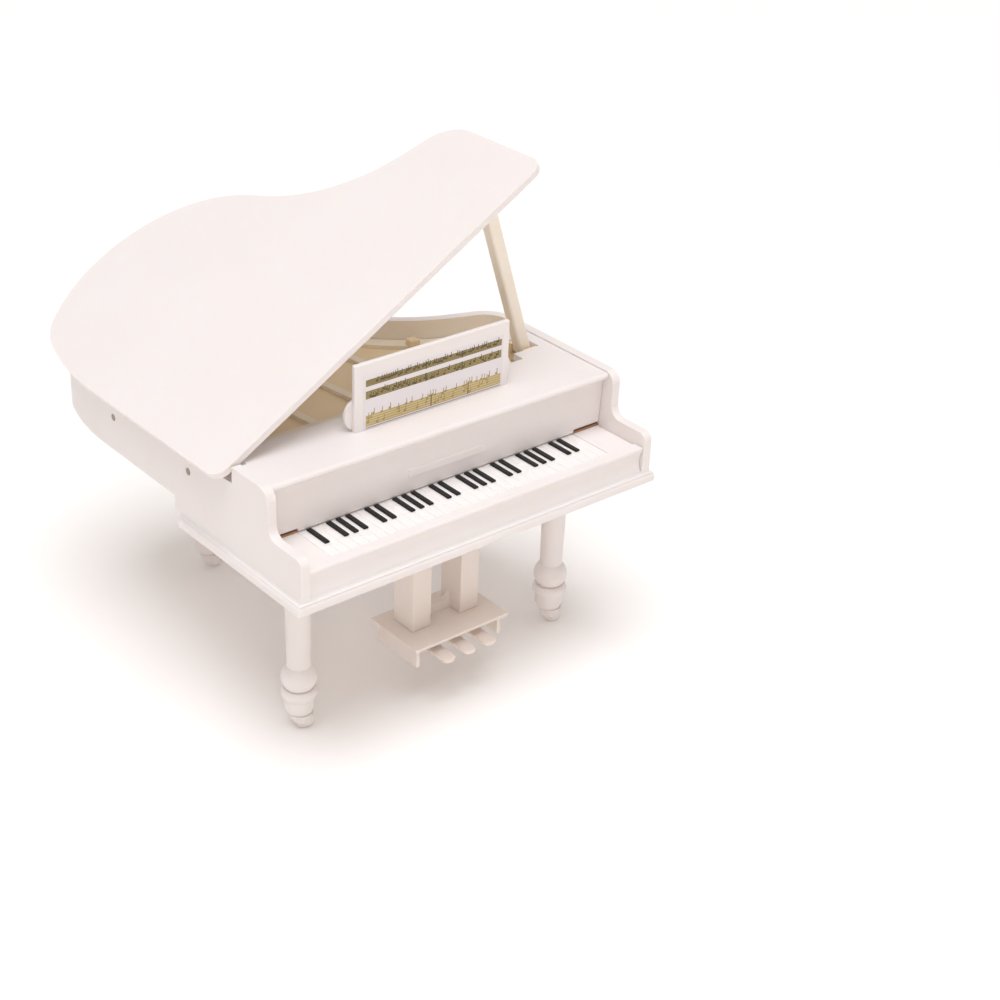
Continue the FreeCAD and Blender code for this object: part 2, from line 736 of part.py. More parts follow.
def make_lid():
    """The one-piece lid, drawn closed, with two lugs that carry it on the hinge pins."""
    sheet_face = board("lid_sheet", -read("lid_overhang"), read("lid_front"), "lid_base", "lid_board")
    cornered = fillet("lid_corners", sheet_face, read("lid_corner"),
                      lambda edge: edge.BoundBox.ZLength > 1.0
                      and edge.BoundBox.YMax < read("lid_front") + 0.01)
    items = [cornered]
    bores = []
    for end in ("front", "rear"):
        start = f"hinge_{end}_y - lug_width / 2"
        items.append(box(f"lug_arm_{end}", "hinge_x - lug_radius", start, "hinge_z",
                         "2 * lug_radius", "lug_width", "hinge_drop + lid_board / 2"))
        items.append(cylinder(f"lug_eye_{end}", "hinge_x", start, "hinge_z", "lug_radius", "lug_width",
                              (0, 1, 0)))
        bores.append(cylinder(f"lug_bore_{end}", "hinge_x", f"{start} - 1", "hinge_z", "lug_bore",
                              "lug_width + 2", (0, 1, 0)))
    lid = cut("lid", fuse("lid_joined", items), bores)
    pivot = FreeCAD.Vector(read("hinge_x"), 0, read("hinge_z"))
    moving["lid"] = (pivot, FreeCAD.Rotation(FreeCAD.Vector(0, 1, 0), -read("lid_open_angle")))
    keep(lid, "lid")


def bracket_room(label, end, extra):
    """The space that a hinge bracket takes against the bass wall, with extra on its free sides."""
    return box(f"{label}_{end}", "-side_x", f"hinge_{end}_y - hinge_span / 2 - {extra}",
               "bracket_base - 1", f"hinge_inset + lug_radius + {extra}", f"hinge_span + 2 * {extra}",
               "rim_top - bracket_base")


def make_hinges():
    """A bracket inside the bass wall at each lug, its pin, and the screw that holds it."""
    screws = []
    for end in ("front", "rear"):
        middle = f"hinge_{end}_y"
        start = f"{middle} - hinge_span / 2"
        block = box(f"bracket_block_{end}", "-inner_x", start, "bracket_base",
                    "hinge_inset - rim_wall + lug_radius", "hinge_span", "hinge_z - bracket_base")
        eye = cylinder(f"bracket_eye_{end}", "hinge_x", start, "hinge_z", "lug_radius", "hinge_span",
                       (0, 1, 0))
        slot = box(f"bracket_slot_{end}", "-side_x", f"{middle} - lug_width / 2 - lug_gap",
                   "hinge_z - lug_radius - lug_gap", "4 * hinge_inset", "lug_width + 2 * lug_gap", "10")
        bore = cylinder(f"bracket_bore_{end}", "hinge_x", f"{start} - 1", "hinge_z",
                        "hinge_pin_radius", "hinge_span + 2", (0, 1, 0))
        hole = cylinder(f"bracket_hole_{end}", "-side_x", middle, "screw_z", "screw_radius",
                        "screw_length", (1, 0, 0))
        joined = fuse(f"bracket_joined_{end}", [block, eye])
        keep(cut(f"hinge_bracket_{end}", joined, [slot, bore, hole]), f"hinge_bracket_{end}")
        pin = cylinder(f"hinge_pin_{end}", "hinge_x", start, "hinge_z", "hinge_pin_radius", "hinge_span",
                       (0, 1, 0))
        keep(pin, f"hinge_pin_{end}")
        shank = cylinder(f"screw_shank_{end}", "-side_x", middle, "screw_z", "screw_radius",
                         "screw_length", (1, 0, 0))
        head = cylinder(f"screw_head_{end}", "-side_x", middle, "screw_z", "screw_head_radius",
                        "screw_head_height", (1, 0, 0))
        screws.append(fuse(f"hinge_screw_{end}", [shank, head]))
    keep(group("hinge_screws", screws), "hinge_screws")


# ---------------------------------------------------------------- prop

def tilted(item):
    """Tilt a piece drawn about the prop's pivot, so that the prop leans to the front."""
    item.Placement = FreeCAD.Placement(
        FreeCAD.Vector(read("prop_x"), read("prop_y"), read("prop_pivot_z")),
        FreeCAD.Rotation(FreeCAD.Vector(1, 0, 0), read("prop_tilt")))
    return item


def make_prop():
    """The prop turns on a pin in a slotted post. Folded, it lies behind the deck under the lid."""
    stick = box("prop_stick", "-prop_thickness / 2", "-prop_width / 2", "0",
                "prop_thickness", "prop_width", "prop_length")
    soft = fillet("prop_soft", stick, read("prop_edge"), lambda edge: edge.BoundBox.ZMax > 1.0)
    eye = cylinder("prop_eye", "0", "-prop_width / 2", "0", "prop_thickness / 2", "prop_width", (0, 1, 0))
    bore = cylinder("prop_bore_hole", "0", "-prop_width", "0", "prop_bore", "2 * prop_width", (0, 1, 0))
    prop = cut("lid_prop", fuse("prop_joined", [soft, eye]), [bore])
    lean = FreeCAD.Rotation(FreeCAD.Vector(0, 1, 0), -read("prop_lean"))
    tilt = FreeCAD.Rotation(FreeCAD.Vector(1, 0, 0), read("prop_tilt"))
    pivot = FreeCAD.Vector(read("prop_x"), read("prop_y"), read("prop_pivot_z"))
    prop.Placement = FreeCAD.Placement(pivot, tilt.multiply(lean))
    keep(prop, "lid_prop")
    block = box("post_block", "prop_x - post_depth / 2", "prop_y - post_span / 2", "soundboard_top",
                "post_depth", "post_span", "prop_pivot_z + post_head - soundboard_top")
    slot = doc.addObject("Part::Box", "post_slot")
    bind(slot, Length="4 * post_depth", Width="prop_width + 2 * prop_gap", Height="20")
    offset = FreeCAD.Vector(-2 * read("post_depth"), -read("prop_width") / 2 - read("prop_gap"),
                            -read("prop_thickness") / 2 - read("prop_gap"))
    tilted(slot)
    slot.Placement = slot.Placement.multiply(FreeCAD.Placement(offset, FreeCAD.Rotation()))
    bore = doc.addObject("Part::Cylinder", "post_bore")
    bind(bore, Radius="prop_pin_radius", Height="4 * post_span")
    tilted(bore)
    along = FreeCAD.Rotation(FreeCAD.Vector(0, 0, 1), FreeCAD.Vector(0, 1, 0))
    bore.Placement = bore.Placement.multiply(
        FreeCAD.Placement(FreeCAD.Vector(0, -2 * read("post_span"), 0), along))
    keep(cut("prop_post", block, [slot, bore]), "prop_post")
    pin = doc.addObject("Part::Cylinder", "prop_pin")
    bind(pin, Radius="prop_pin_radius", Height="post_span")
    tilted(pin)
    pin.Placement = pin.Placement.multiply(
        FreeCAD.Placement(FreeCAD.Vector(0, -read("post_span") / 2, 0), along))
    keep(pin, "prop_pin")


# ---------------------------------------------------------------- legs

def make_leg(label, x, y, top):
    """A turned leg: foot, step, ring, ball, tapered shaft, hollowed capital and tenon."""
    foot, step, ring, ball = (read(name) for name in ("foot_radius", "step_radius", "ring_radius",
                                                      "ball_radius"))
    groove, low, high = read("groove_radius"), read("shaft_foot_radius"), read("shaft_head_radius")
    capital, tenon = read("capital_radius"), read("tenon_radius")
    rise, section, ring_z, ball_z = (read(name) for name in ("foot_height", "ring_section", "ring_z",
                                                             "ball_z"))
    head = read(top)
    sole, bevel = foot - read("foot_taper"), read("foot_bevel")
    ball_foot = ball_z - math.sqrt(ball ** 2 - groove ** 2)
    ball_head = ball_z + math.sqrt(ball ** 2 - low ** 2)
    neck = head - read("capital_height")
    rim = head - read("capital_rim")

    def at(radius, height):
        return (radius, 0, height)
    half = math.sqrt(0.5)
    cove = at(high + (capital - high) * (1 - half), neck + (rim - neck) * half)
    outline = [
        line(at(0, 0), at(sole - bevel, 0)),
        line(at(sole - bevel, 0), at(sole, bevel)),
        line(at(sole, bevel), at(foot, rise)),
        line(at(foot, rise), at(step, rise)),
        line(at(step, rise), at(step, ring_z - section)),
        arc(at(step, ring_z - section), at(ring, ring_z), at(step, ring_z + section)),
        line(at(step, ring_z + section), at(groove, ring_z + section)),
        line(at(groove, ring_z + section), at(groove, ball_foot)),
        arc(at(groove, ball_foot), at(ball, ball_z), at(low, ball_head)),
        line(at(low, ball_head), at(high, neck)),
        arc(at(high, neck), cove, at(capital, rim)),
        line(at(capital, rim), at(capital, head)),
        line(at(capital, head), at(tenon, head)),
        line(at(tenon, head), at(tenon, head + read("tenon_height"))),
        line(at(tenon, head + read("tenon_height")), at(0, head + read("tenon_height"))),
        line(at(0, head + read("tenon_height")), at(0, 0)),
    ]
    leg = doc.addObject("Part::Revolution", label)
    leg.Source = profile(label + "_profile", outline)
    leg.Axis = FreeCAD.Vector(0, 0, 1)
    leg.Base = FreeCAD.Vector(0, 0, 0)
    leg.Angle = 360
    leg.Solid = True
    bind(leg, Placement__Base__x=x, Placement__Base__y=y)
    keep(leg, label)


# ---------------------------------------------------------------- pedal lyre

def make_lyre():
    """Two square columns on a box with a flared lip; three flat pedals come out of its front."""
    left, width = "-box_width / 2", "box_width"
    shell = box("lyre_shell", left, "box_front", "box_base", width, "box_depth", "box_height")
    lip = box("lyre_lip", f"{left} - lip_out", "box_front - lip_out", "box_top - lip_height / 3",
              f"{width} + 2 * lip_out", "box_depth + 2 * lip_out", "lip_height / 3")
    cove = doc.addObject("Part::Wedge", "lyre_cove")
    bind(cove, Xmin="0", Ymin="0", Zmin="0", Xmax=width, Ymax="lip_height * 2 / 3", Zmax="box_depth",
         X2min="-lip_out", Z2min="-lip_out", X2max=f"{width} + lip_out", Z2max="box_depth + lip_out")
    cove.Placement = FreeCAD.Placement(FreeCAD.Vector(0, 0, 0),
                                       FreeCAD.Rotation(FreeCAD.Vector(1, 0, 0), 90))
    bind(cove, Placement__Base__x=left, Placement__Base__y="box_front + box_depth",
         Placement__Base__z="box_top - lip_height")
    mouth = box("lyre_mouth", f"{left} + box_wall", "box_front - 5", "box_base - 1",
                f"{width} - 2 * box_wall", "box_depth - box_wall + 5",
                "box_height - box_wall + 1 - lip_height / 3")
    keep(cut("lyre_box", fuse("lyre_box_joined", [shell, lip, cove]), [mouth]), "lyre_box")
    for side, sign in (("left", "-"), ("right", "")):
        column = box(f"lyre_column_{side}", f"{sign}column_spacing / 2 - column_width / 2", "column_front",
                     "box_top", "column_width", "column_depth", "leg_height - box_top")
        keep(column, f"lyre_column_{side}")
    make_lyre_web()
    for index, side in enumerate(("left", "middle", "right")):
        plate = box(f"pedal_plate_{side}", f"({index} - 1) * pedal_spacing - pedal_width / 2",
                    "box_front - pedal_out", "box_base + pedal_lift",
                    "pedal_width", "pedal_length", "pedal_board")
        soft = fillet(f"pedal_{side}", plate, read("pedal_round"),
                      lambda edge: edge.BoundBox.XLength < 0.01 and edge.BoundBox.YLength < 0.01
                      and edge.BoundBox.YMax < read("box_front"))
        keep(soft, f"pedal_{side}")


def make_lyre_web():
    """The low web between the columns, rounded up into each of them."""
    half = (read("column_spacing") - read("column_width")) / 2
    base, top, bend = read("box_top"), read("box_top") + read("web_height"), read("web_round")
    y = read("column_front") + read("column_depth") / 2
    low = top - bend
    turn = bend * (1 - math.sqrt(0.5))
    edges = [
        line((-half, y, base), (half, y, base)),
        line((half, y, base), (half, y, top)),
        arc((half, y, top), (half - turn, y, low + turn), (half - bend, y, low)),
        line((half - bend, y, low), (bend - half, y, low)),
        arc((bend - half, y, low), (turn - half, y, low + turn), (-half, y, top)),
        line((-half, y, top), (-half, y, base)),
    ]
    keep(extrude("lyre_web", profile("web_profile", edges), (0, 1, 0), "web_board"), "lyre_web")


def make_legs():
    make_leg("leg_front_left", "-leg_x", "leg_y", "leg_height")
    make_leg("leg_front_right", "leg_x", "leg_y", "leg_height")
    make_leg("leg_rear", "rear_leg_x", "rear_leg_y", "belly_z")


def check_document():
    doc.recompute()
    for item in doc.Objects:
        if "Invalid" in item.State or "Error" in item.State:
            raise RuntimeError(f"{item.Label} failed to build: {item.State}")
    for item in nodes:
        if item.Shape.isNull() or not item.Shape.isValid() or not item.Shape.Solids:
            raise RuntimeError(f"{item.Label} has no valid solid")


def place_nodes():
    """Open the lid, then move the whole object so that its origin is under its middle."""
    doc.recompute()
    for item in nodes:
        if item.Label in moving:
            pivot, turn = moving[item.Label]
            item.Placement = FreeCAD.Placement(FreeCAD.Vector(0, 0, 0), turn, pivot)
    doc.recompute()
    whole = FreeCAD.BoundBox()
    for item in nodes:
        whole.add(item.Shape.BoundBox)
    middle = FreeCAD.Vector(-whole.Center.x, -whole.Center.y, -whole.ZMin)
    for item in nodes:
        place = item.Placement
        for axis in ("x", "y", "z"):
            item.setExpression(f"Placement.Base.{axis}", None)
        item.Placement = FreeCAD.Placement(middle, FreeCAD.Rotation()).multiply(place)
    doc.recompute()
    whole = FreeCAD.BoundBox()
    for item in nodes:
        whole.add(item.Shape.BoundBox)
    print("shift", middle, "box", whole)


make_case_rim()
make_plinth()
make_key_slip()
make_key_frame()
make_belly_rail()
make_white_keys()
make_black_keys()
make_key_blocks()
make_fallboard()
make_top_deck()
make_music_desk()
make_music_sheet()
make_floor_and_soundboard()
make_harp_plate()
make_lid()
make_hinges()
make_prop()
make_legs()
make_lyre()
place_nodes()
check_document()
os.makedirs("parts", exist_ok=True)
for node in nodes:
    node.Shape.exportStep(f"parts/{node.Label}.step")
    print(node.Label, len(node.Shape.Solids), round(node.Shape.Volume, 1))
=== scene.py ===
import bmesh
import bpy
import math
from mathutils import Matrix, Vector


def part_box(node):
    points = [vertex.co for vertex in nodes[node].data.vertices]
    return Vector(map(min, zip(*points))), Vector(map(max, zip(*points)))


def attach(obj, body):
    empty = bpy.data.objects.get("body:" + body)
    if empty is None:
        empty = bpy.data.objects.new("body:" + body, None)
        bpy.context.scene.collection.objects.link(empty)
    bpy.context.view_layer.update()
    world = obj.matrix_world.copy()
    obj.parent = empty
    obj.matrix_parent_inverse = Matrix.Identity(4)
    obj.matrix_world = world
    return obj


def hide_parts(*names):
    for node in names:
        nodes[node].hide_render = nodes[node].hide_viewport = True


# Looks of the dolls' house grand piano. Lengths are in metres, MM turns millimetres into metres.

MM = 0.001
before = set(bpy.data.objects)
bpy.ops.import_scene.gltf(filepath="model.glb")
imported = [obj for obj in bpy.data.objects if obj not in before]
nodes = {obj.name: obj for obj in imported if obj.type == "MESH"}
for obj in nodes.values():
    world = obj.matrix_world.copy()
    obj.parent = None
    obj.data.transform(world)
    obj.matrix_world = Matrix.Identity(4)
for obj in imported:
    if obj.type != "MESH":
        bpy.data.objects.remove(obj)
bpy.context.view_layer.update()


# ---------------------------------------------------------------- camera, light and floor

CAMERA_PLACE = (-0.28527, -0.40120, 0.31256)
CAMERA_AZIMUTH = math.radians(41.26)
CAMERA_ELEVATION = math.radians(29.13)
CAMERA_ROLL = math.radians(2.62)
LENS = 67.27
SENSOR = 36.0
NEAR = 0.01
FAR = 100.0
FLOOR_REACH = 30.0
LAMP_FROM = (-0.14, -0.16, 0.98)
LAMP_STRENGTH = 1.64
LAMP_SPREAD = math.radians(38.0)
LAMP_COLOUR = (1.0, 1.035, 1.085)
HORIZON_COLOUR = (0.33, 0.285, 0.25, 1.0)
ZENITH_COLOUR = (0.68, 0.655, 0.64, 1.0)
FILL_PLACE = (-0.42, -0.62, 0.40)
FILL_TARGET = (0.0, 0.0, 0.08)
FILL_SIZE = 0.3
FILL_POWER = 0.95
FILL_COLOUR = (1.0, 0.95, 0.90)


def make_camera():
    """A long lens from the player's left, above the lid."""
    azimuth, elevation, roll = CAMERA_AZIMUTH, CAMERA_ELEVATION, CAMERA_ROLL
    forward = Vector((math.sin(azimuth) * math.cos(elevation),
                      math.cos(azimuth) * math.cos(elevation), -math.sin(elevation)))
    level = Vector((math.cos(azimuth), -math.sin(azimuth), 0.0))
    upright = level.cross(forward)
    across = level * math.cos(roll) + upright * math.sin(roll)
    above = upright * math.cos(roll) - level * math.sin(roll)
    data = bpy.data.cameras.new("camera")
    data.sensor_width = SENSOR
    data.lens = LENS
    data.clip_start = NEAR
    data.clip_end = FAR
    camera = bpy.data.objects.new("camera", data)
    turn = Matrix((across, above, -forward)).transposed()
    camera.matrix_world = Matrix.Translation(CAMERA_PLACE) @ turn.to_4x4()
    bpy.context.scene.collection.objects.link(camera)
    bpy.context.scene.camera = camera


def make_fill():
    """A small warm light from the front left that reaches in under the lid."""
    data = bpy.data.lights.new("fill", "AREA")
    data.shape = "DISK"
    data.size = FILL_SIZE
    data.energy = FILL_POWER
    data.color = FILL_COLOUR
    light = bpy.data.objects.new("fill", data)
    aim = (Vector(FILL_TARGET) - Vector(FILL_PLACE)).to_track_quat("-Z", "Y")
    light.matrix_world = Matrix.Translation(FILL_PLACE) @ aim.to_matrix().to_4x4()
    bpy.context.scene.collection.objects.link(light)


def make_room():
    """A pale room, dimmer and warmer towards the horizon than overhead."""
    world = bpy.data.worlds.new("room")
    world.use_nodes = True
    tree = world.node_tree
    backdrop = tree.nodes["Background"]
    place = tree.nodes.new("ShaderNodeTexCoord")
    height = tree.nodes.new("ShaderNodeSeparateXYZ")
    tree.links.new(place.outputs["Generated"], height.inputs["Vector"])
    shade = tree.nodes.new("ShaderNodeValToRGB")
    shade.color_ramp.elements[0].position = 0.0
    shade.color_ramp.elements[0].color = HORIZON_COLOUR
    shade.color_ramp.elements[1].position = 0.9
    shade.color_ramp.elements[1].color = ZENITH_COLOUR
    tree.links.new(height.outputs["Z"], shade.inputs["Fac"])
    tree.links.new(shade.outputs["Color"], backdrop.inputs["Color"])
    backdrop.inputs["Strength"].default_value = 1.0
    return world


def make_studio():
    """A soft overhead light, a small fill, a pale room and a pale floor."""
    bpy.context.scene.view_settings.view_transform = "Standard"
    lamp = bpy.data.lights.new("overhead", "SUN")
    lamp.energy = LAMP_STRENGTH
    lamp.angle = LAMP_SPREAD
    lamp.color = LAMP_COLOUR
    overhead = bpy.data.objects.new("overhead", lamp)
    overhead.matrix_world = Vector(LAMP_FROM).to_track_quat("Z", "Y").to_matrix().to_4x4()
    bpy.context.scene.collection.objects.link(overhead)
    make_fill()
    bpy.context.scene.world = make_room()
    mesh = bpy.data.meshes.new("floor")
    reach = FLOOR_REACH
    corners = [(-reach, -reach, 0), (reach, -reach, 0), (reach, reach, 0), (-reach, reach, 0)]
    mesh.from_pydata(corners, [], [(0, 1, 2, 3)])
    floor = bpy.data.objects.new("floor", mesh)
    bpy.context.scene.collection.objects.link(floor)
    mesh.materials.append(make_floor_finish())


# ---------------------------------------------------------------- finishes

def new_socket(tree, name, direction, kind, value=None):
    socket = tree.interface.new_socket(name, in_out=direction, socket_type="NodeSocket" + kind)
    if value is not None:
        socket.default_value = value
    return socket


def add_node(tree, kind, **settings):
    node = tree.nodes.new(kind)
    for name, value in settings.items():
        setattr(node, name, value)
    return node


def make_moulding_group():
    """Shared skin of a moulded piece: cloudy colour, uneven gloss, ripple and fine orange peel."""
    tree = bpy.data.node_groups.new("moulded_skin", "ShaderNodeTree")
    new_socket(tree, "Color", "INPUT", "Color", (0.8, 0.8, 0.8, 1.0))
    new_socket(tree, "Cloud Color", "INPUT", "Color", (0.7, 0.7, 0.7, 1.0))
    new_socket(tree, "Cloud Scale", "INPUT", "Float", 40.0)
    new_socket(tree, "Cloud Amount", "INPUT", "Float", 0.4)
    new_socket(tree, "Roughness", "INPUT", "Float", 0.4)
    new_socket(tree, "Roughness Spread", "INPUT", "Float", 0.1)
    new_socket(tree, "Peel Scale", "INPUT", "Float", 2500.0)
    new_socket(tree, "Ripple Scale", "INPUT", "Float", 120.0)
    new_socket(tree, "Color", "OUTPUT", "Color")
    new_socket(tree, "Roughness", "OUTPUT", "Float")
    new_socket(tree, "Height", "OUTPUT", "Float")
    start = add_node(tree, "NodeGroupInput")
    end = add_node(tree, "NodeGroupOutput")
    place = add_node(tree, "ShaderNodeTexCoord")
    cloud = add_node(tree, "ShaderNodeTexNoise")
    cloud.inputs["Detail"].default_value = 3.0
    peel = add_node(tree, "ShaderNodeTexNoise")
    peel.inputs["Detail"].default_value = 2.0
    ripple = add_node(tree, "ShaderNodeTexNoise")
    ripple.inputs["Detail"].default_value = 1.0
    for texture, scale in ((cloud, "Cloud Scale"), (peel, "Peel Scale"), (ripple, "Ripple Scale")):
        tree.links.new(place.outputs["Object"], texture.inputs["Vector"])
        tree.links.new(start.outputs[scale], texture.inputs["Scale"])
    contrast = add_node(tree, "ShaderNodeMapRange")
    contrast.inputs["From Min"].default_value = 0.35
    contrast.inputs["From Max"].default_value = 0.7
    tree.links.new(cloud.outputs["Fac"], contrast.inputs["Value"])
    share = add_node(tree, "ShaderNodeMath", operation="MULTIPLY")
    tree.links.new(contrast.outputs["Result"], share.inputs[0])
    tree.links.new(start.outputs["Cloud Amount"], share.inputs[1])
    blend = add_node(tree, "ShaderNodeMix", data_type="RGBA")
    tree.links.new(share.outputs["Value"], blend.inputs["Factor"])
    tree.links.new(start.outputs["Color"], blend.inputs[6])
    tree.links.new(start.outputs["Cloud Color"], blend.inputs[7])
    tree.links.new(blend.outputs[2], end.inputs["Color"])
    centred = add_node(tree, "ShaderNodeMath", operation="SUBTRACT")
    tree.links.new(ripple.outputs["Fac"], centred.inputs[0])
    centred.inputs[1].default_value = 0.5
    spread = add_node(tree, "ShaderNodeMath", operation="MULTIPLY_ADD")
    tree.links.new(centred.outputs["Value"], spread.inputs[0])
    tree.links.new(start.outputs["Roughness Spread"], spread.inputs[1])
    tree.links.new(start.outputs["Roughness"], spread.inputs[2])
    tree.links.new(spread.outputs["Value"], end.inputs["Roughness"])
    height = add_node(tree, "ShaderNodeMath", operation="MULTIPLY_ADD")
    tree.links.new(ripple.outputs["Fac"], height.inputs[0])
    height.inputs[1].default_value = 2.0
    tree.links.new(peel.outputs["Fac"], height.inputs[2])
    tree.links.new(height.outputs["Value"], end.inputs["Height"])
    return tree


moulding = make_moulding_group()


def make_moulded(name, colour, cloud_colour, roughness, bump=0.12, amount=0.45, **constants):
    """A finish made with the shared skin. Constants are set on the shader's own sockets."""
    material = bpy.data.materials.new(name)
    material.use_nodes = True
    tree = material.node_tree
    shader = tree.nodes["Principled BSDF"]
    skin = add_node(tree, "ShaderNodeGroup", node_tree=moulding)
    skin.inputs["Color"].default_value = (*colour, 1.0)
    skin.inputs["Cloud Color"].default_value = (*cloud_colour, 1.0)
    skin.inputs["Cloud Amount"].default_value = amount
    skin.inputs["Roughness"].default_value = roughness
    tree.links.new(skin.outputs["Color"], shader.inputs["Base Color"])
    tree.links.new(skin.outputs["Roughness"], shader.inputs["Roughness"])
    relief = add_node(tree, "ShaderNodeBump")
    relief.inputs["Strength"].default_value = bump
    relief.inputs["Distance"].default_value = 0.02 * MM
    tree.links.new(skin.outputs["Height"], relief.inputs["Height"])
    tree.links.new(relief.outputs["Normal"], shader.inputs["Normal"])
    for socket, value in constants.items():
        shader.inputs[socket.replace("_", " ")].default_value = value
    return material


def make_floor_finish():
    return make_moulded("floor_paper", (0.97, 0.945, 0.925), (0.965, 0.94, 0.92), 0.9, bump=0.0)


def make_plastic(name, colour, cloud_colour, roughness, depth, **options):
    """A moulded finish that lets a little light through."""
    return make_moulded(name, colour, cloud_colour, roughness, Subsurface_Weight=depth,
                        Subsurface_Radius=SCATTER, Subsurface_Scale=1.0, **options)


SCATTER = (0.9 * MM, 0.55 * MM, 0.35 * MM)
ivory = make_plastic("ivory_plastic", (0.85, 0.80, 0.785), (0.835, 0.77, 0.745), 0.36, 0.2)
# Ivory with painted warm shade: the same ivory plastic, warmer and darker where it stands in the shade
# under the lid.
painted_warm_shade_ivory = make_plastic("warm_ivory_plastic", (0.92, 0.84, 0.73), (0.89, 0.79, 0.66), 0.38, 0.2)
# Darker, warmer ivory for the lyre and pedals: partly their own warmer tone, partly painted shade for
# the shadow under the case.
lyre_ivory_warm_and_shaded = make_plastic("lyre_ivory_plastic", (0.81, 0.73, 0.675), (0.78, 0.68, 0.61), 0.38, 0.2)
key_ivory = make_plastic("key_plastic", (0.90, 0.865, 0.845), (0.87, 0.83, 0.81), 0.28, 0.15)
# Ivory with painted golden shade: the soundboard, plate stud, prop post and key frame are the same ivory
# plastic, golden only in the shadow under the lid and in the gaps.
painted_golden_shade_ivory = make_plastic("golden_tan_plastic", (0.90, 0.74, 0.50), (0.84, 0.66, 0.42), 0.42, 0.15)
# Ivory with painted cream shade for the harp plate: the same ivory plastic, cream and gold only where
# the lid shades it.
painted_cream_shade_ivory = make_plastic("cream_gold_plastic", (0.93, 0.84, 0.69), (0.90, 0.79, 0.61), 0.38, 0.2)
enamel = make_moulded("black_enamel", (0.008, 0.007, 0.007), (0.014, 0.012, 0.012), 0.42,
                      Specular_IOR_Level=0.3)
# Brown painted shade for the dark gap under both ends of the fallboard.
painted_gap_shade = make_moulded("umber_edge", (0.36, 0.19, 0.10), (0.22, 0.11, 0.06), 0.5)
paper = make_moulded("sheet_paper", (0.80, 0.755, 0.775), (0.75, 0.70, 0.73), 0.55, bump=0.05)
gilt = make_moulded("gilt_print", (0.40, 0.31, 0.12), (0.26, 0.20, 0.08), 0.42, amount=0.8)
pale_gilt = make_moulded("pale_gilt_print", (0.66, 0.53, 0.27), (0.55, 0.43, 0.20), 0.42, amount=0.6)
dark_gilt = make_moulded("dark_gilt_print", (0.20, 0.15, 0.05), (0.10, 0.075, 0.03), 0.45, amount=0.9)
ink = make_moulded("print_ink", (0.10, 0.072, 0.028), (0.19, 0.14, 0.055), 0.5, amount=0.7)
steel = make_moulded("pin_steel", (0.42, 0.41, 0.40), (0.30, 0.29, 0.28), 0.34, Metallic=1.0)
bronze = make_moulded("screw_bronze", (0.36, 0.28, 0.22), (0.24, 0.18, 0.14), 0.4, Metallic=0.3)


# ---------------------------------------------------------------- repeated pieces

def socket_of(node, identifier, side="inputs"):
    return next(socket for socket in getattr(node, side) if socket.identifier == identifier)


def close_tree(tree, geometry):
    """Finish a pattern: its instances become real faces in the finish that was asked for."""
    start = next(node for node in tree.nodes if node.bl_idname == "NodeGroupInput")
    end = add_node(tree, "NodeGroupOutput")
    real = add_node(tree, "GeometryNodeRealizeInstances")
    paint = add_node(tree, "GeometryNodeSetMaterial")
    tree.links.new(geometry, real.inputs["Geometry"])
    tree.links.new(real.outputs["Geometry"], paint.inputs["Geometry"])
    tree.links.new(start.outputs["Finish"], paint.inputs["Material"])
    tree.links.new(paint.outputs["Geometry"], end.inputs["Geometry"])


def make_block_row():
    """A row of equal blocks. Every Cycle places, the ones numbered Skip A and Skip B stay empty."""
    tree = bpy.data.node_groups.new("block_row", "GeometryNodeTree")
    for name, kind in (("Count", "Int"), ("Corner", "Vector"), ("Step", "Vector"),
                       ("Size", "Vector"), ("Cycle", "Int"), ("Skip A", "Int"), ("Skip B", "Int"),
                       ("Finish", "Material")):
        new_socket(tree, name, "INPUT", kind)
    new_socket(tree, "Geometry", "OUTPUT", "Geometry")
    start = add_node(tree, "NodeGroupInput")
    half = add_node(tree, "ShaderNodeVectorMath", operation="SCALE")
    half.inputs["Scale"].default_value = 0.5
    tree.links.new(start.outputs["Size"], half.inputs[0])
    middle = add_node(tree, "ShaderNodeVectorMath", operation="ADD")
    tree.links.new(start.outputs["Corner"], middle.inputs[0])
    tree.links.new(half.outputs["Vector"], middle.inputs[1])
    line = add_node(tree, "GeometryNodeMeshLine", mode="OFFSET")
    tree.links.new(start.outputs["Count"], line.inputs["Count"])
    tree.links.new(middle.outputs["Vector"], line.inputs["Start Location"])
    tree.links.new(start.outputs["Step"], line.inputs["Offset"])
    index = add_node(tree, "GeometryNodeInputIndex")
    turn = add_node(tree, "FunctionNodeIntegerMath", operation="MODULO")
    tree.links.new(index.outputs["Index"], turn.inputs[0])
    tree.links.new(start.outputs["Cycle"], turn.inputs[1])
    either = add_node(tree, "FunctionNodeBooleanMath", operation="OR")
    for place, name in enumerate(("Skip A", "Skip B")):
        same = add_node(tree, "FunctionNodeCompare", data_type="INT", operation="EQUAL")
        tree.links.new(turn.outputs["Value"], socket_of(same, "A_INT"))
        tree.links.new(start.outputs[name], socket_of(same, "B_INT"))
        tree.links.new(same.outputs["Result"], either.inputs[place])
    thin = add_node(tree, "GeometryNodeDeleteGeometry", domain="POINT")
    tree.links.new(line.outputs["Mesh"], thin.inputs["Geometry"])
    tree.links.new(either.outputs["Boolean"], thin.inputs["Selection"])
    block = add_node(tree, "GeometryNodeMeshCube")
    tree.links.new(start.outputs["Size"], block.inputs["Size"])
    copies = add_node(tree, "GeometryNodeInstanceOnPoints")
    tree.links.new(thin.outputs["Geometry"], copies.inputs["Points"])
    tree.links.new(block.outputs["Mesh"], copies.inputs["Instance"])
    close_tree(tree, copies.outputs["Instances"])
    return tree


